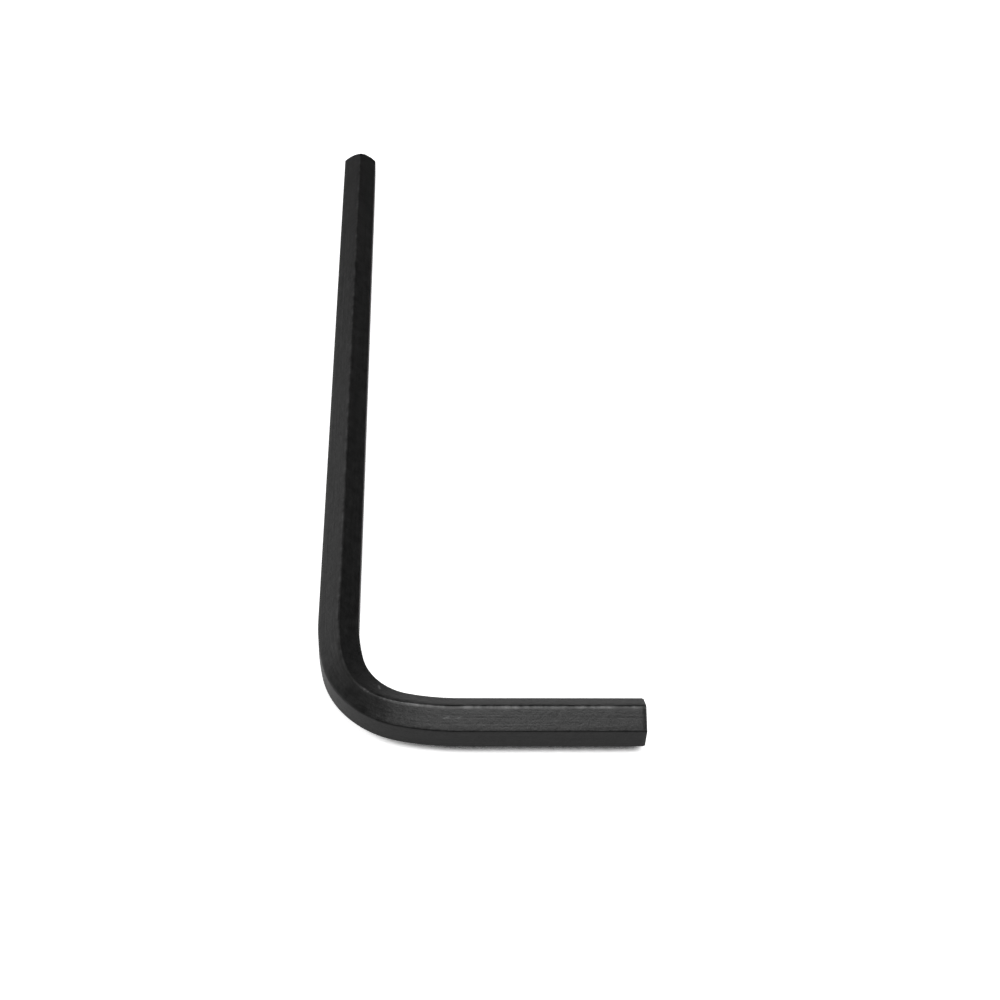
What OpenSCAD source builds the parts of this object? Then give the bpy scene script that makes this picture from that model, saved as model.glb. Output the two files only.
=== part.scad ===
// Hex key: one hexagonal steel bar, bent once into a long and a short arm.
// It lies on its lower corner, with two flats facing the inside and the outside of the bend.

/* [Bar] */
// Width of the bar across its flats, which is the key's size
across_flats = 2.5; // [2:0.5:6]
// How far each of the six long corners is rounded back from sharp
corner_break = 0.025; // [0.01:0.005:0.06]

/* [Arms] */
// Overall length of the long arm, from the outer flat of the short one
long_arm = 58.8; // [45:0.1:120]
// Overall length of the short arm, from the outer flat of the long one
short_arm = 19.5; // [16:0.1:40]

/* [Bend] */
// Radius of the inner flat in the middle of the bend
bend_r = 3.6; // [2.5:0.1:6]
// Radius of the inner flat in the run-in between each arm and the middle
run_in_r = 14; // [8:0.5:20]
// Angle that each run-in turns through
run_in_angle = 12.5; // [5:0.5:20]

/* [Ends] */
// How far back the chamfer cuts the bar's corners at the end of the long arm
long_end_cut = 0.22; // [0.06:0.01:0.3]
// How far back the chamfer cuts the bar's corners at the end of the short arm
short_end_cut = 0.08; // [0.06:0.01:0.3]
// Angle of both chamfers, away from the arm's axis
chamfer_angle = 45; // [30:5:60]

/* [Hidden] */
$fn = 96;

// Sides of the bar, the angle from the middle of a flat to a corner, and the angle between the arms
sides = 6;
half_side = 180 / sides;
arms_turn = 90;

// Reach of the bar from its axis to a sharp corner, and to the rounded one
sharp_reach = across_flats / 2 / cos(half_side);
corner_reach = sharp_reach - corner_break;
// Radius of the lathe's stock round the bar, well clear of its corners
stock_r = across_flats;

// Centre line radii of the bend's middle and of its run-ins
middle_r = bend_r + across_flats / 2;
easy_r = run_in_r + across_flats / 2;
// The arms' centre lines cross at the origin of the bend. The centre of its middle
// lies middle_at from both lines, and the straight arms begin at set_back.
middle_at = easy_r - (easy_r - middle_r) * cos(run_in_angle);
set_back = middle_at + (easy_r - middle_r) * sin(run_in_angle);

// Hexagon with rounded corners, one of them straight up
module bar_section() {
    intersection() {
        rotate(half_side)
            circle(r = sharp_reach, $fn = sides);
        circle(r = corner_reach);
    }
}

// What a lathe leaves round an arm: its end face, the chamfer, and a cylinder behind it
module turned_end(run, cut) {
    end_face_r = corner_reach - cut * tan(chamfer_angle);
    rotate_extrude()
        polygon([
            [0, 0],
            [stock_r, 0],
            [stock_r, run - (stock_r - end_face_r) / tan(chamfer_angle)],
            [end_face_r, run],
            [0, run]
        ]);
}

// Straight stretch of bar along +Z, with its far end chamfered
module arm(run, cut) {
    intersection() {
        linear_extrude(height = run)
            bar_section();
        turned_end(run, cut);
    }
}

// Stretch of bend about a centre, from a start angle through a turn
module arc(centre_x, centre_y, radius, from, turn) {
    translate([centre_x, centre_y, 0])
        rotate_extrude(angle = turn, start = from)
            translate([radius, 0])
                bar_section();
}

// The tight middle of the bend, with the easy run-in to the long arm before it
// and the one to the short arm after it
module bend() {
    arc(easy_r, set_back, easy_r, 180, run_in_angle);
    arc(middle_at, middle_at, middle_r, 180 + run_in_angle, arms_turn - 2 * run_in_angle);
    arc(set_back, easy_r, easy_r, 180 + arms_turn - run_in_angle, run_in_angle);
}

// The whole key, on its lower corner and centred over the origin
module hex_key() {
    color("#2e2e2e")
        translate([(across_flats - short_arm) / 2, (across_flats - long_arm) / 2, corner_reach]) {
            translate([0, set_back, 0])
                rotate([-90, 0, 0])
                    arm(long_arm - across_flats / 2 - set_back, long_end_cut);
            bend();
            translate([set_back, 0, 0])
                rotate([90, 0, 90])
                    arm(short_arm - across_flats / 2 - set_back, short_end_cut);
        }
}

hex_key();
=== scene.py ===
"""Looks of a hex key: one black-oxide steel bar, cut, chamfered and bent, on a pale floor."""

import logging
import math
from dataclasses import dataclass, field
from enum import Enum
from typing import Any

import bmesh
import bpy
from mathutils import Matrix, Vector


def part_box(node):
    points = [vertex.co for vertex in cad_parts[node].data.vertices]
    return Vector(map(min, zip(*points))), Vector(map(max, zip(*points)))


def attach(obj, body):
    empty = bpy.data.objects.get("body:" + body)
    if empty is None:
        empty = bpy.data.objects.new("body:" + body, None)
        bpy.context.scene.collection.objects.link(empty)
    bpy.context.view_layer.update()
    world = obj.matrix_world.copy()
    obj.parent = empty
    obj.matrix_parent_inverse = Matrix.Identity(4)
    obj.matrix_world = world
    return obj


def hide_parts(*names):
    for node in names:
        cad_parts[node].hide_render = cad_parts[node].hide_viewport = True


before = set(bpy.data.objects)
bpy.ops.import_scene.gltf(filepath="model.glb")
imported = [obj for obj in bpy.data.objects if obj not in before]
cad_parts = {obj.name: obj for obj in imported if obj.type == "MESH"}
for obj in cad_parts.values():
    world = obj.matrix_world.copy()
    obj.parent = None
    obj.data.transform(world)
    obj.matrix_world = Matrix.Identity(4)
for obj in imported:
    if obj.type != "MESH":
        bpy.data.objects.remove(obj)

logger = logging.getLogger("hex_key")

MM = 0.001
SIDES = 6
HALF_SIDE = math.pi / SIDES


def linear_rgba(hex_colour: str) -> tuple[float, float, float, float]:
    """Turn an sRGB hex value such as "#1b1b1c" into the linear colour that a shader takes.

    Args:
        hex_colour: Six hex digits after a hash sign.

    Returns:
        Linear red, green, blue, and an alpha of 1.
    """
    parts = [int(hex_colour[i : i + 2], 16) / 255 for i in (1, 3, 5)]
    linear = [c / 12.92 if c <= 0.04045 else ((c + 0.055) / 1.055) ** 2.4 for c in parts]
    return (linear[0], linear[1], linear[2], 1.0)


def add_node(
    tree: bpy.types.NodeTree,
    kind: str,
    links: dict[str | int, Any] | None = None,
    settings: dict[str, Any] | None = None,
    values: dict[str | int, Any] | None = None,
) -> bpy.types.Node:
    """Add one shader node with its settings, socket values and incoming links.

    Args:
        tree: The node tree that gets the node.
        kind: The node's type name, without the ShaderNode in front.
        links: Output sockets of other nodes, by the name or number of the input they feed.
        settings: Properties of the node itself.
        values: Constants, by the name or number of the input they set.

    Returns:
        The new node.
    """
    node = tree.nodes.new("ShaderNode" + kind)
    for name, value in (settings or {}).items():
        setattr(node, name, value)
    for socket, value in (values or {}).items():
        node.inputs[socket].default_value = value
    for socket, source in (links or {}).items():
        tree.links.new(source, node.inputs[socket])
    return node


class End(Enum):
    """The two ends of the bar, with the sign that the bar's length has towards each."""

    LONG = -1
    SHORT = 1


@dataclass(frozen=True)
class Mark:
    """A small bright handling mark on the oxide. All lengths are in millimetres.

    Its place is along the bar from the start of the bend, and around it from the upper corner.
    """

    along: float
    around: float
    length: float
    width: float
    slant_deg: float
    strength: float


@dataclass(frozen=True)
class BarSpot:
    """Where a point lies on the bar: along its centre line, and in the bar's section."""

    along: float
    inward: float
    up: float
    inward_axis: Vector


@dataclass
class BendPath:
    """Centre line of the bent bar, in millimetres. The lines of its two arms cross at 0, 0.

    The tight middle of the bend lies between two easy run-ins, one to each arm.
    """

    across_flats: float = 2.5
    inner_radius: float = 3.6
    run_in_radius: float = 14.0
    run_in_deg: float = 12.5

    def __post_init__(self) -> None:
        """Work out the centre line's radii and where its arcs are centred."""
        self.middle_r = self.inner_radius + self.across_flats / 2
        self.easy_r = self.run_in_radius + self.across_flats / 2
        self.run_in = math.radians(self.run_in_deg)
        spread = self.easy_r - self.middle_r
        self.middle_at = self.easy_r - spread * math.cos(self.run_in)
        self.set_back = self.middle_at + spread * math.sin(self.run_in)
        self.middle_turn = math.pi / 2 - 2 * self.run_in
        self.run_in_length = self.easy_r * self.run_in
        self.middle_length = self.middle_r * self.middle_turn
        self.bend_length = 2 * self.run_in_length + self.middle_length

    def locate(self, point: Vector) -> BarSpot:
        """Find where a point near the bar lies on it.

        Args:
            point: The point, with the arms' crossing at 0, 0 and the bar's axis at height 0.

        Returns:
            The distance along the centre line from the start of the bend, which is negative on
            the long arm, and the place in the section there.
        """
        x, y = point.x, point.y
        if y >= self.set_back:
            return BarSpot(self.set_back - y, x, point.z, Vector((1, 0, 0)))
        if x >= self.set_back:
            return BarSpot(self.bend_length + x - self.set_back, y, point.z, Vector((0, 1, 0)))
        turned = math.atan2(self.middle_at - y, self.middle_at - x)
        if turned < self.run_in:
            centre, radius = Vector((self.easy_r, self.set_back)), self.easy_r
            start, start_at = 0.0, 0.0
        elif turned <= self.run_in + self.middle_turn:
            centre, radius = Vector((self.middle_at, self.middle_at)), self.middle_r
            start, start_at = self.run_in, self.run_in_length
        else:
            centre, radius = Vector((self.set_back, self.easy_r)), self.easy_r
            start = self.run_in + self.middle_turn
            start_at = self.run_in_length + self.middle_length
        towards = centre - Vector((x, y))
        angle = math.atan2(towards.y, towards.x)
        along = start_at + (angle - start) * radius
        return BarSpot(along, radius - towards.length, point.z, towards.normalized().to_3d())


@dataclass(frozen=True)
class BlackOxide:
    """Black oxide on cold-drawn steel: dipped hot in a salt bath, rinsed and oiled.

    The eye sees a near-black skin with a soft, semi-gloss sheen like a dark lacquer, faint
    lengthwise lines from the drawing die, and a cloudy mottle from the bath. The upper corner is
    lighter in broken dashes, partly burnish from handling and partly a painted highlight where it
    catches the lamp overhead. A window is the two values of a pattern at which nothing and all
    of what it makes shows.
    """

    skin: str = "#0a0a0a"
    cloud: str = "#202020"
    # Lighter colour of the upper corner: partly burnish from handling, partly a painted highlight.
    burnish_and_highlight: str = "#5a5a5a"
    roughness: float = 0.41
    roughness_swing: float = 0.05
    burnished_roughness: float = 0.28
    ior: float = 1.46
    cloud_mm: float = 0.6
    pit_mm: float = 0.45
    grain_mm: float = 0.16
    die_line_mm: float = 0.14
    die_line_length_mm: float = 6.0
    pit_height_mm: float = 0.015
    grain_height_mm: float = 0.008
    die_line_height_mm: float = 0.007
    noise_roughness: float = 0.6
    lines_in_mottle: float = 0.4
    mottle_window: tuple[float, float] = (0.4, 0.66)
    dash_scale: tuple[float, float, float] = (0.9, 0.3, 1.0)
    dash_window: tuple[float, float] = (0.44, 0.6)
    mark_window: tuple[float, float] = (1.7, 0.9)
    marks: tuple[Mark, ...] = (
        Mark(6.71, 0.92, 0.60, 0.17, 135.0, 1.0),
        Mark(11.35, -0.66, 0.50, 0.12, 20.0, 0.5),
        Mark(12.05, -0.64, 0.45, 0.10, 20.0, 0.45),
    )

    def build(self) -> bpy.types.Material:
        """Make the material.

        Returns:
            The black-oxide material, which reads the piece's "bar" UV map and "rubbed" attribute.
        """
        material = bpy.data.materials.new("black_oxide_steel")
        material.use_nodes = True
        tree = material.node_tree
        tree.nodes.clear()
        place = add_node(tree, "TexCoord").outputs["Object"]
        bar = add_node(tree, "UVMap", settings={"uv_map": "bar"}).outputs["UV"]
        rubbed_and_highlight = add_node(tree, "Attribute", settings={"attribute_name": "rubbed_and_highlight"}).outputs["Fac"]

        cloud = self.noise(tree, place, 1 / (self.cloud_mm * MM), detail=4.0)
        pits = self.noise(tree, place, 1 / (self.pit_mm * MM), detail=3.0)
        grain = self.noise(tree, place, 1 / (self.grain_mm * MM), detail=2.0)
        stretch = add_node(
            tree,
            "Mapping",
            links={"Vector": bar},
            values={"Scale": (1 / self.die_line_length_mm, 1 / self.die_line_mm, 1.0)},
        ).outputs["Vector"]
        lines = self.noise(tree, stretch, 1.0, detail=3.0)
        # The upper corner's dashes, partly burnish and partly a painted highlight, then the
        # handling marks.
        wear_and_highlight = self.wear_and_highlight(tree, bar, rubbed_and_highlight)
        for mark in self.marks:
            wear_and_highlight = add_node(
                tree,
                "Math",
                settings={"operation": "MAXIMUM"},
                links={0: wear_and_highlight, 1: self.marked(tree, bar, grain, mark)},
            ).outputs["Value"]

        mottle = self.spread(tree, self.lines_in_mottle, cloud, lines)
        mottle = self.window(tree, mottle, *self.mottle_window)
        skin = self.mix(tree, mottle, linear_rgba(self.skin), linear_rgba(self.cloud))
        colour = self.mix(tree, wear_and_highlight, skin, linear_rgba(self.burnish_and_highlight))
        smoothest = self.roughness - self.roughness_swing
        roughest = self.roughness + self.roughness_swing
        rough = self.spread(tree, cloud, smoothest, roughest)
        rough = self.spread(tree, wear_and_highlight, rough, self.burnished_roughness)

        relief = None
        for height, depth in (
            (pits, self.pit_height_mm),
            (grain, self.grain_height_mm),
            (lines, self.die_line_height_mm),
        ):
            below = {"Normal": relief} if relief else {}
            relief = add_node(
                tree,
                "Bump",
                links={"Height": height, **below},
                values={"Strength": 1.0, "Distance": depth * MM},
            ).outputs["Normal"]
        shader = add_node(
            tree,
            "BsdfPrincipled",
            links={"Base Color": colour, "Roughness": rough, "Normal": relief},
            values={"Metallic": 0.0, "IOR": self.ior},
        )
        add_node(tree, "OutputMaterial", links={"Surface": shader.outputs["BSDF"]})
        return material

    def noise(
        self,
        tree: bpy.types.NodeTree,
        vector: bpy.types.NodeSocket,
        scale: float,
        detail: float,
    ) -> bpy.types.NodeSocket:
        """Add a noise pattern.

        Args:
            tree: The material's node tree.
            vector: The coordinates that the pattern follows.
            scale: How many features there are in one unit of the coordinates.
            detail: How many finer layers the pattern has.

        Returns:
            The pattern's value, from 0 to 1.
        """
        return add_node(
            tree,
            "TexNoise",
            links={"Vector": vector},
            values={"Scale": scale, "Detail": detail, "Roughness": self.noise_roughness},
        ).outputs["Fac"]

    @staticmethod
    def blend(
        tree: bpy.types.NodeTree,
        kind: str,
        sockets: tuple[int, int],
        factor: Any,
        low: Any,
        high: Any,
    ) -> bpy.types.Node:
        """Add a Mix node whose three inputs are each a constant or another node's output.

        Args:
            tree: The material's node tree.
            kind: What it mixes, "FLOAT" or "RGBA".
            sockets: The numbers of the two inputs that it mixes.
            factor: 0 for the first of them, 1 for the second.
            low: The first of them.
            high: The second of them.

        Returns:
            The Mix node.
        """
        given = {0: factor, sockets[0]: low, sockets[1]: high}
        links = {k: v for k, v in given.items() if isinstance(v, bpy.types.NodeSocket)}
        values = {k: v for k, v in given.items() if k not in links}
        return add_node(tree, "Mix", links=links, settings={"data_type": kind}, values=values)

    def mix(
        self, tree: bpy.types.NodeTree, factor: Any, low: Any, high: Any
    ) -> bpy.types.NodeSocket:
        """Mix two colours.

        Args:
            tree: The material's node tree.
            factor: 0 for the first colour, 1 for the second.
            low: The first colour, or the socket that gives it.
            high: The second colour, or the socket that gives it.

        Returns:
            The mixed colour.
        """
        return self.blend(tree, "RGBA", (6, 7), factor, low, high).outputs[2]

    def spread(
        self, tree: bpy.types.NodeTree, factor: Any, low: Any, high: Any
    ) -> bpy.types.NodeSocket:
        """Turn a factor from 0 to 1 into a value between two others.

        Args:
            tree: The material's node tree.
            factor: 0 for the first value, 1 for the second.
            low: The first value, or the socket that gives it.
            high: The second value, or the socket that gives it.

        Returns:
            The value in between.
        """
        return self.blend(tree, "FLOAT", (2, 3), factor, low, high).outputs[0]

    @staticmethod
    def window(
        tree: bpy.types.NodeTree,
        value: bpy.types.NodeSocket,
        low: float,
        high: float,
        top: float = 1.0,
    ) -> bpy.types.NodeSocket:
        """Stretch part of a pattern's range to the whole range from 0 up.

        Args:
            tree: The material's node tree.
            value: The pattern.
            low: What becomes 0.
            high: What becomes the top value.
            top: The top value.

        Returns:
            The stretched pattern.
        """
        return add_node(
            tree,
            "MapRange",
            links={"Value": value},
            values={"From Min": low, "From Max": high, "To Min": 0.0, "To Max": top},
        ).outputs["Result"]

    def marked(
        self,
        tree: bpy.types.NodeTree,
        bar: bpy.types.NodeSocket,
        grain: bpy.types.NodeSocket,
        mark: Mark,
    ) -> bpy.types.NodeSocket:
        """Work out how much of one handling mark shows: a slanted patch with a ragged rim.

        Args:
            tree: The material's node tree.
            bar: Millimetres along and around the bar.
            grain: The fine pattern that makes the rim ragged.
            mark: The mark.

        Returns:
            The mark's amount of wear, from 0 to its strength.
        """
        patch = add_node(
            tree,
            "Mapping",
            settings={"vector_type": "TEXTURE"},
            links={"Vector": bar},
            values={
                "Location": (mark.along, mark.around, 0.0),
                "Rotation": (0.0, 0.0, math.radians(mark.slant_deg)),
                "Scale": (mark.length / 2, mark.width / 2, 1.0),
            },
        ).outputs["Vector"]
        from_middle = add_node(
            tree, "VectorMath", settings={"operation": "LENGTH"}, links={0: patch}
        ).outputs["Value"]
        ragged = add_node(
            tree, "Math", settings={"operation": "ADD"}, links={0: from_middle, 1: grain}
        ).outputs["Value"]
        return self.window(tree, ragged, *self.mark_window, mark.strength)

    def wear_and_highlight(
        self, tree: bpy.types.NodeTree, bar: bpy.types.NodeSocket, rubbed_and_highlight: bpy.types.NodeSocket
    ) -> bpy.types.NodeSocket:
        """Work out the corner's lighter dashes: partly burnish, partly a painted highlight.

        Args:
            tree: The material's node tree.
            bar: Millimetres along and around the bar.
            rubbed_and_highlight: 1 where the corner has burnish and painted highlight, 0 elsewhere.

        Returns:
            The amount of wear and painted highlight, from 0 to 1.
        """
        stretch = add_node(
            tree, "Mapping", links={"Vector": bar}, values={"Scale": self.dash_scale}
        ).outputs["Vector"]
        dashes = self.noise(tree, stretch, 1.0, detail=3.0)
        broken = self.window(tree, dashes, *self.dash_window)
        return add_node(
            tree, "Math", settings={"operation": "MULTIPLY"}, links={0: broken, 1: rubbed_and_highlight}
        ).outputs["Value"]


@dataclass
class HexKey:
    """The key: one hexagonal bar with rounded corners, chamfered ends and one bend.

    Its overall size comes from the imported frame, and its other lengths here are in millimetres.
    The mesh is made in millimetres from the crossing of the two arms' centre lines. At the end
    it is moved to its place in the frame and scaled to metres.
    """

    node: str = "hex_key"
    path: BendPath = field(default_factory=BendPath)
    corner_radius: float = 0.12
    corner_facets: int = 6
    flat_cuts: int = 7
    ring_step: float = 0.3
    bend_ring_step: float = 0.12
    long_end_cut: float = 0.22
    short_end_cut: float = 0.08
    edge_softness: float = 0.035
    edge_facets: int = 2
    ridge_line: tuple[tuple[float, float], ...] = (
        (-1.0, 0.06),
        (1.5, 0.02),
        (3.6, -0.06),
        (5.2, -0.13),
        (6.1, -0.12),
        (6.8, -0.09),
        (7.8, -0.01),
        (8.7, 0.06),
        (10.5, 0.10),
        (12.7, 0.12),
        (16.0, 0.12),
    )
    ridge_drop: float = 0.05
    roll_off: float = 0.025
    roll_in_width: float = 0.26
    roll_out_width: float = 0.07
    rolled_from: float = 4.0
    # The upper corner's lighter dashes, partly burnish from handling and partly a painted
    # highlight:
    rub_highlight_from: float = 6.3
    rub_highlight_shift: float = -0.05
    rub_highlight_width: float = 0.12
    faint_rub_highlight: float = 0.35
    swell_power: int = 4
    crease: float = math.radians(28)
    finish: BlackOxide = field(default_factory=BlackOxide)

    def __post_init__(self) -> None:
        """Take the overall lengths from the frame and work out the section."""
        low, high = (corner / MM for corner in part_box(self.node))
        size = high - low
        flats = self.path.across_flats
        self.origin = Vector((low.x + flats / 2, low.y + flats / 2, (low.z + high.z) / 2))
        self.long_reach = size.y - flats / 2
        self.short_reach = size.x - flats / 2
        self.sharp_reach = flats / 2 / math.cos(HALF_SIDE)
        self.side = self.sharp_reach
        self.corner_setback = self.corner_radius * math.tan(HALF_SIDE)
        corner_cut = self.corner_radius * (1 / math.cos(HALF_SIDE) - 1)
        self.corner_reach = self.sharp_reach - corner_cut

    def make(self) -> bpy.types.Object:
        """Model and dress the key.

        Returns:
            The key, riding on the part's body in place of its plain solid.
        """
        shape = bmesh.new()
        tip = self.section(shape)
        far = self.draw_bar(shape, tip)
        self.turn_end(shape, tip, End.LONG)
        self.turn_end(shape, far, End.SHORT)
        self.press_ridge(shape)
        bmesh.ops.recalc_face_normals(shape, faces=shape.faces)
        self.map_surface(shape)
        bmesh.ops.translate(shape, verts=shape.verts, vec=self.origin)
        bmesh.ops.scale(shape, verts=shape.verts, vec=(MM, MM, MM))
        for face in shape.faces:
            face.smooth = True
        mesh = bpy.data.meshes.new("hex_key_steel")
        shape.to_mesh(mesh)
        shape.free()
        mesh.set_sharp_from_angle(angle=self.crease)
        mesh.materials.append(self.finish.build())
        key = bpy.data.objects.new("hex_key_steel", mesh)
        bpy.context.scene.collection.objects.link(key)
        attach(key, "root")
        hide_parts(self.node)
        logger.info("%s: %d faces", key.name, len(mesh.polygons))
        return key

    def section(self, shape: bmesh.types.BMesh) -> bmesh.types.BMFace:
        """Draw the section at the tip of the long arm: a hexagon with rounded corners, one up.

        Args:
            shape: The mesh that gets the section.

        Returns:
            The section as one face, with its edges cut for the turned chamfer's curves.
        """
        place = Matrix.Translation((0, self.long_reach, 0)) @ Matrix.Rotation(math.pi / 2, 4, "X")
        made = bmesh.ops.create_circle(
            shape, cap_ends=True, radius=self.sharp_reach, segments=SIDES, matrix=place
        )
        bmesh.ops.bevel(
            shape,
            geom=made["verts"],
            offset=self.corner_setback,
            offset_type="OFFSET",
            affect="VERTICES",
            segments=self.corner_facets,
            profile=0.5,
            material=-1,
        )
        flats = [edge for edge in shape.edges if edge.calc_length() > self.side / 2]
        bmesh.ops.bisect_edges(shape, edges=flats, cuts=self.flat_cuts)
        shape.faces.ensure_lookup_table()
        return shape.faces[0]

    @staticmethod
    def draw(
        shape: bmesh.types.BMesh,
        face: bmesh.types.BMFace,
        steps: int,
        centre: tuple[float, float, float] = (0, 0, 0),
        angle: float = 0.0,
        step_vector: tuple[float, float, float] = (0, 0, 0),
    ) -> bmesh.types.BMFace:
        """Draw the bar on from its open end, straight or round a centre.

        Args:
            shape: The mesh being made.
            face: The face at the bar's end so far.
            steps: How many rings to add.
            centre: The centre that the bar turns round.
            angle: The angle that it turns through, in radians.
            step_vector: How far each ring moves on a straight stretch.

        Returns:
            The face at the bar's new end.
        """
        made = bmesh.ops.spin(
            shape,
            geom=[face, *face.edges, *face.verts],
            cent=centre,
            axis=(0, 0, 1),
            dvec=step_vector,
            angle=angle,
            steps=steps,
            use_merge=False,
        )
        return next(item for item in made["geom_last"] if isinstance(item, bmesh.types.BMFace))

    def draw_bar(self, shape: bmesh.types.BMesh, tip: bmesh.types.BMFace) -> bmesh.types.BMFace:
        """Draw the whole bar from the tip of the long arm, round the bend, to the short end.

        Args:
            shape: The mesh being made.
            tip: The section at the tip of the long arm.

        Returns:
            The face at the short arm's end.
        """
        path = self.path
        long_run = self.long_reach - path.set_back
        short_run = self.short_reach - path.set_back
        long_steps = round(long_run / self.ring_step)
        short_steps = round(short_run / self.ring_step)
        easy_steps = round(path.run_in_length / self.bend_ring_step)
        middle_steps = round(path.middle_length / self.bend_ring_step)
        face = self.draw(shape, tip, long_steps, step_vector=(0, -long_run / long_steps, 0))
        face = self.draw(shape, face, easy_steps, (path.easy_r, path.set_back, 0), path.run_in)
        face = self.draw(
            shape, face, middle_steps, (path.middle_at, path.middle_at, 0), path.middle_turn
        )
        face = self.draw(shape, face, easy_steps, (path.set_back, path.easy_r, 0), path.run_in)
        return self.draw(shape, face, short_steps, step_vector=(short_run / short_steps, 0, 0))

    def turn_end(self, shape: bmesh.types.BMesh, face: bmesh.types.BMFace, end: End) -> None:
        """Turn a 45 degree chamfer on an end, and soften its edges.

        Each point of the section moves back by as much as it stands out past the end face's circle,
        which leaves the curved lines that a cone cuts across the flats. A point inside that circle
        gets the least chamfer that the soft edges need.

        Args:
            shape: The mesh being made.
            face: The flat face at that end.
            end: Which end it is.
        """
        on_long = end is End.LONG
        axis = Vector((0, -end.value, 0)) if on_long else Vector((end.value, 0, 0))
        end_radius = self.corner_reach - (self.long_end_cut if on_long else self.short_end_cut)
        least = 2 * self.edge_softness
        middle = face.calc_center_median()
        rim = {vert: vert.co - middle for vert in face.verts}
        inset = bmesh.ops.inset_region(shape, faces=[face], thickness=least)
        chamfer = set(inset["faces"])
        outer = {vert for strip in chamfer for vert in strip.verts} - set(rim)
        for vert in outer:
            vert.co -= axis * max(least, (vert.co - middle).length - end_radius)
        for vert, spoke in rim.items():
            vert.co = middle + spoke.normalized() * min(spoke.length - least, end_radius)
        ring = {
            edge
            for strip in chamfer
            for edge in strip.edges
            if not chamfer.issuperset(edge.link_faces)
        }
        bmesh.ops.bevel(
            shape,
            geom=list(ring),
            offset=self.edge_softness,
            offset_type="OFFSET",
            affect="EDGES",
            segments=self.edge_facets,
            profile=0.5,
            material=-1,
            clamp_overlap=True,
        )

    def press_ridge(self, shape: bmesh.types.BMesh) -> None:
        """Lead the upper and lower ridge off the bar's middle, as the bending pressed them.

        They run outwards and a little flatter in the middle of the bend, and inwards on both arms.
        From the middle of the bend on, the upper one is also rolled over a little, mostly inwards.

        Args:
            shape: The mesh being made.
        """
        side_height = self.side / 2
        length = self.path.bend_length
        for vert in shape.verts:
            spot = self.path.locate(vert.co)
            rise = (abs(spot.up) - side_height) / side_height
            if spot.up > 0:
                width = self.roll_in_width if spot.inward > 0 else self.roll_out_width
                rolled = min(max(spot.along / self.rolled_from, 0.0), 1.0) * self.roll_off
                vert.co.z -= rolled * max(0.0, 1 - abs(spot.inward) / width)
            if rise <= 0:
                continue
            through = min(max(spot.along / length, 0.0), 1.0)
            swell = math.sin(math.pi * through) ** self.swell_power
            vert.co += spot.inward_axis * self.ridge_offset(spot.along) * rise
            vert.co.z -= math.copysign(self.ridge_drop * swell * rise, spot.up)

    def ridge_offset(self, along: float) -> float:
        """Read how far inwards the ridges lie at a place on the bar.

        Args:
            along: The distance along the bar from the start of the bend.

        Returns:
            The offset towards the inside of the bend, negative towards the outside.
        """
        for (low_at, low), (high_at, high) in zip(self.ridge_line, self.ridge_line[1:]):
            if along < high_at:
                share = max(0.0, (along - low_at) / (high_at - low_at))
                return low + (high - low) * share
        return self.ridge_line[-1][1]

    def map_surface(self, shape: bmesh.types.BMesh) -> None:
        """Give each point its place on the bar in millimetres, and its rub and painted highlight.

        The upper corner is lighter on its outer side, where it catches the lamp overhead, and most
        from the middle of the bend to the short end. This is partly burnish from handling and
        partly a painted highlight. The faint share before the middle of the bend is a painted
        highlight.

        Args:
            shape: The mesh being made.
        """
        bar = shape.loops.layers.uv.new("bar")
        rubbed_and_highlight = shape.verts.layers.float.new("rubbed_and_highlight")
        spots = {vert: self.path.locate(vert.co) for vert in shape.verts}
        reach = self.sharp_reach
        for vert, spot in spots.items():
            # Where the upper corner's burnish and painted highlight are centred.
            rub_highlight_at = self.ridge_offset(spot.along) + self.rub_highlight_shift
            if spot.up > 0:
                most = 1.0 if spot.along > self.rub_highlight_from else self.faint_rub_highlight
                nearness = max(0.0, 1 - abs(spot.inward - rub_highlight_at) / self.rub_highlight_width)
                vert[rubbed_and_highlight] = most * nearness
        for face in shape.faces:
            turns = [math.atan2(spots[v].inward, spots[v].up) for v in face.verts]
            crosses_seam = max(turns) - min(turns) > math.pi
            for loop, turn in zip(face.loops, turns):
                if crosses_seam and turn < 0:
                    turn += 2 * math.pi
                loop[bar].uv = (spots[loop.vert].along, turn * reach)


@dataclass(frozen=True)
class SoftBox:
    """A studio lamp with a soft, even face, aimed at the key.

    The azimuth is 0 behind the key, where the long arm points, and 90 on the short arm's side.
    """

    name: str
    azimuth_deg: float
    elevation_deg: float
    distance: float
    width: float
    height: float
    radiance: float

    def place(self, aim: Vector) -> bpy.types.Object:
        """Hang the lamp.

        Args:
            aim: The point that the lamp faces.

        Returns:
            The lamp's object.
        """
        lamp = bpy.data.lights.new(self.name, "AREA")
        lamp.shape = "RECTANGLE"
        lamp.size = self.width
        lamp.size_y = self.height
        lamp.energy = self.radiance * math.pi * self.width * self.height
        azimuth = math.radians(self.azimuth_deg)
        elevation = math.radians(self.elevation_deg)
        away = Vector(
            (
                math.sin(azimuth) * math.cos(elevation),
                math.cos(azimuth) * math.cos(elevation),
                math.sin(elevation),
            )
        )
        holder = bpy.data.objects.new(self.name, lamp)
        holder.location = aim + away * self.distance
        holder.rotation_euler = away.to_track_quat("Z", "Y").to_euler()
        holder.visible_camera = False
        bpy.context.scene.collection.objects.link(holder)
        return holder


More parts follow.
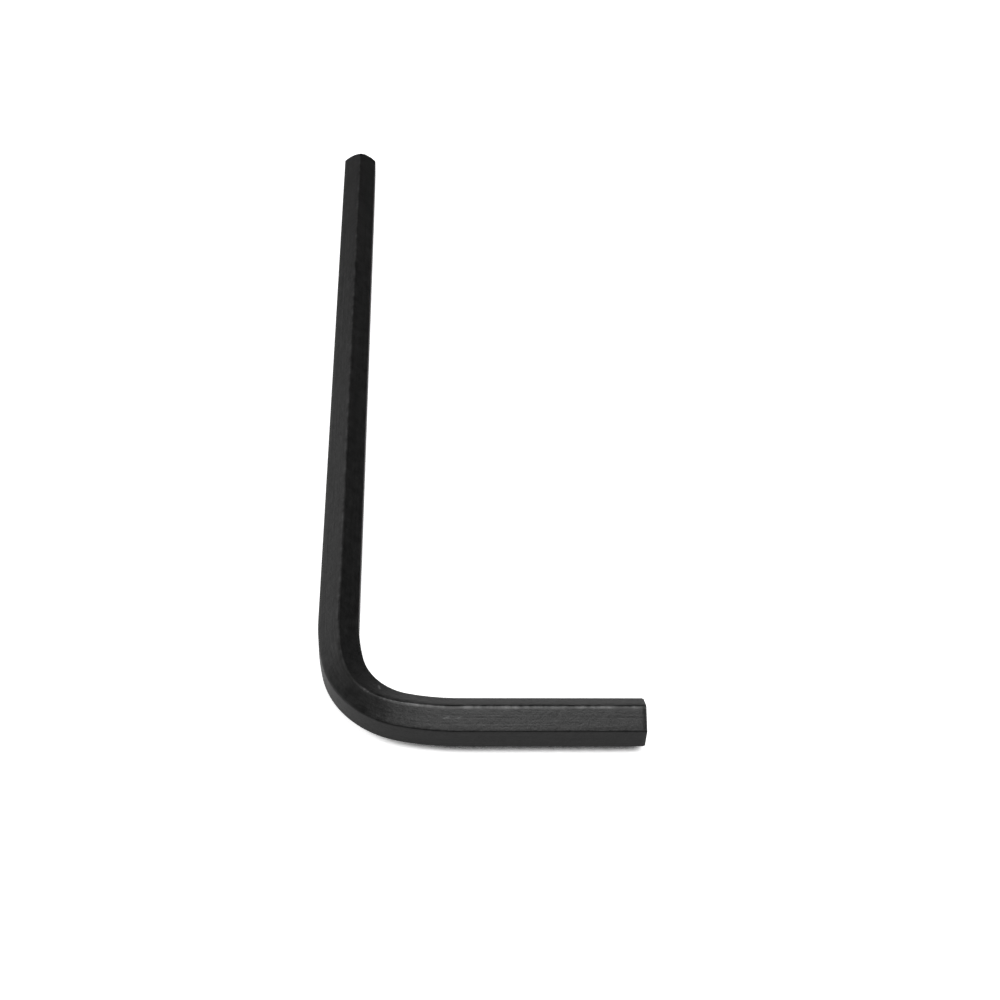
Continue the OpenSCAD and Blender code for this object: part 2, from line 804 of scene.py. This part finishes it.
@dataclass
class Studio:
    """The pale floor, the soft lamps and the world round the key. Lengths are in metres."""

    floor_radius: float = 3.0
    floor_facets: int = 96
    floor_colour: str = "#e6e6e6"
    camera_glow: float = 0.9
    gloss_glow: float = 0.08
    contact_reach: float = 0.0025
    dark_below: float = 0.4
    clear_above: float = 0.5
    occlusion_samples: int = 8
    left_lean: float = math.radians(35)
    lit_radius: float = 0.15
    far_radius: float = 0.6
    world_colour: str = "#ffffff"
    horizon_strength: float = 0.045
    ceiling_strength: float = 0.005
    horizon_rise: float = 0.34
    ceiling_rise: float = 0.62
    lamps: tuple[SoftBox, ...] = (
        SoftBox("overhead_softbox", 0.0, 89.9, 0.6, 0.22, 0.46, 7.2),
        SoftBox("left_softbox", -78.0, 12.0, 0.6, 1.0, 0.36, 1.5),
        SoftBox("front_fill", 120.0, 35.0, 0.7, 0.65, 0.65, 0.6),
    )

    def make(self) -> None:
        """Build the floor, the world and the lamps."""
        self.lay_floor()
        self.light_world()
        for lamp in self.lamps:
            lamp.place(Vector((0, 0, 0)))
            logger.info("%s placed", lamp.name)

    def lay_floor(self) -> bpy.types.Object:
        """Lay a round, matt, pale floor under the key.

        Returns:
            The floor.
        """
        shape = bmesh.new()
        bmesh.ops.create_circle(
            shape, cap_ends=True, radius=self.floor_radius, segments=self.floor_facets
        )
        mesh = bpy.data.meshes.new("floor")
        shape.to_mesh(mesh)
        shape.free()
        mesh.materials.append(self.floor_material())
        floor = bpy.data.objects.new("floor", mesh)
        bpy.context.scene.collection.objects.link(floor)
        return floor

    def floor_material(self) -> bpy.types.Material:
        """Make the floor's matt white, which shows as white to the camera and in the key's gloss.

        Close round the key its shadow stays dark, partly a real shadow and partly a painted one:
        the glow is cut where an occlusion test finds the key close over the floor, less so where
        the floor is open towards the lamp on the left. Far from it, where the lamps give out, the
        board is white too.

        Returns:
            The floor's material.
        """
        material = bpy.data.materials.new("matt_white_board")
        material.use_nodes = True
        tree = material.node_tree
        tree.nodes.clear()
        matt = add_node(tree, "BsdfDiffuse", values={"Color": linear_rgba(self.floor_colour)})
        path = add_node(tree, "LightPath")
        mirrored = add_node(
            tree,
            "Math",
            settings={"operation": "MAXIMUM"},
            links={0: path.outputs["Is Glossy Ray"], 1: path.outputs["Is Transmission Ray"]},
        ).outputs["Value"]
        mirrored = add_node(
            tree,
            "Math",
            settings={"operation": "MULTIPLY"},
            links={0: mirrored},
            values={1: self.gloss_glow},
        ).outputs["Value"]
        place = add_node(tree, "TexCoord").outputs["Object"]
        from_key = add_node(
            tree, "VectorMath", settings={"operation": "LENGTH"}, links={0: place}
        ).outputs["Value"]
        pale = add_node(
            tree,
            "MapRange",
            links={"Value": from_key},
            values={
                "From Min": self.lit_radius,
                "From Max": self.far_radius,
                "To Min": self.camera_glow,
                "To Max": 1.0,
            },
        ).outputs["Result"]
        seen = add_node(
            tree,
            "Math",
            settings={"operation": "MULTIPLY_ADD"},
            links={0: path.outputs["Is Camera Ray"], 1: pale, 2: mirrored},
        ).outputs["Value"]
        # Painted contact shadow: occlusion tests that cut the glow close round the key.
        above = add_node(
            tree,
            "AmbientOcclusion",
            settings={"samples": self.occlusion_samples},
            values={"Distance": self.contact_reach},
        ).outputs["AO"]
        to_left = add_node(
            tree,
            "CombineXYZ",
            values={"X": -math.sin(self.left_lean), "Z": math.cos(self.left_lean)},
        ).outputs["Vector"]
        left = add_node(
            tree,
            "AmbientOcclusion",
            links={"Normal": to_left},
            settings={"samples": self.occlusion_samples},
            values={"Distance": self.contact_reach},
        ).outputs["AO"]
        open_room = add_node(
            tree, "Math", settings={"operation": "MAXIMUM"}, links={0: above, 1: left}
        ).outputs["Value"]
        clear = add_node(
            tree,
            "MapRange",
            links={"Value": open_room},
            values={
                "From Min": self.dark_below,
                "From Max": self.clear_above,
                "To Min": 0.0,
                "To Max": 1.0,
            },
        ).outputs["Result"]
        strength = add_node(
            tree, "Math", settings={"operation": "MULTIPLY"}, links={0: seen, 1: clear}
        ).outputs["Value"]
        glow = add_node(tree, "Emission", links={"Strength": strength})
        both = add_node(
            tree,
            "AddShader",
            links={0: matt.outputs["BSDF"], 1: glow.outputs["Emission"]},
        )
        add_node(tree, "OutputMaterial", links={"Surface": both.outputs["Shader"]})
        return material

    def light_world(self) -> None:
        """Fill the room with a dim light, least from overhead. The camera sees it as white."""
        world = bpy.data.worlds.new("room")
        world.use_nodes = True
        tree = world.node_tree
        tree.nodes.clear()
        path = add_node(tree, "LightPath")
        direction = add_node(tree, "TexCoord").outputs["Generated"]
        rise = add_node(tree, "SeparateXYZ", links={"Vector": direction}).outputs["Z"]
        room = add_node(
            tree,
            "MapRange",
            links={"Value": rise},
            values={
                "From Min": self.horizon_rise,
                "From Max": self.ceiling_rise,
                "To Min": self.horizon_strength,
                "To Max": self.ceiling_strength,
            },
        ).outputs["Result"]
        level = add_node(
            tree,
            "Math",
            settings={"operation": "MAXIMUM"},
            links={0: path.outputs["Is Camera Ray"], 1: room},
        ).outputs["Value"]
        fill = add_node(
            tree,
            "Background",
            links={"Strength": level},
            values={"Color": linear_rgba(self.world_colour)},
        )
        add_node(tree, "OutputWorld", links={"Surface": fill.outputs["Background"]})
        bpy.context.scene.world = world


@dataclass(frozen=True)
class PhotoCamera:
    """The photo's camera, which looks along the long arm and down at the key.

    It aims at a point beside the place where the two arms' centre lines cross. Lengths that have
    no other unit in their name are in metres.
    """

    lens_mm: float = 60.27
    sensor_mm: float = 36.0
    distance: float = 0.111674
    azimuth_deg: float = 4.261
    down_deg: float = 44.823
    roll_deg: float = 3.414
    beside_crossing: tuple[float, float, float] = (0.0103082, 0.0185212, 0.0)
    clip_start: float = 0.005

    def place(self, crossing: Vector) -> bpy.types.Object:
        """Set the camera up and make it the scene's.

        Args:
            crossing: Where the two arms' centre lines cross.

        Returns:
            The camera's object.
        """
        data = bpy.data.cameras.new("photo_camera")
        data.lens = self.lens_mm
        data.sensor_width = self.sensor_mm
        data.clip_start = self.clip_start
        turn = (
            Matrix.Rotation(math.radians(-self.azimuth_deg), 4, "Z")
            @ Matrix.Rotation(math.radians(90 - self.down_deg), 4, "X")
            @ Matrix.Rotation(math.radians(self.roll_deg), 4, "Z")
        )
        camera = bpy.data.objects.new("photo_camera", data)
        target = crossing + Vector(self.beside_crossing)
        camera.matrix_world = (
            Matrix.Translation(target) @ turn @ Matrix.Translation((0, 0, self.distance))
        )
        bpy.context.scene.collection.objects.link(camera)
        bpy.context.scene.camera = camera
        logger.info("camera at %s", [round(c, 4) for c in camera.matrix_world.translation])
        return camera


def main() -> None:
    """Build the key, the studio round it and the camera."""
    logging.basicConfig(level=logging.INFO, format="%(name)s: %(message)s")
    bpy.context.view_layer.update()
    bpy.context.scene.view_settings.view_transform = "Standard"
    hex_key = HexKey()
    hex_key.make()
    PhotoCamera().place(hex_key.origin * MM)
    Studio().make()


if __name__ == "__main__":
    main()
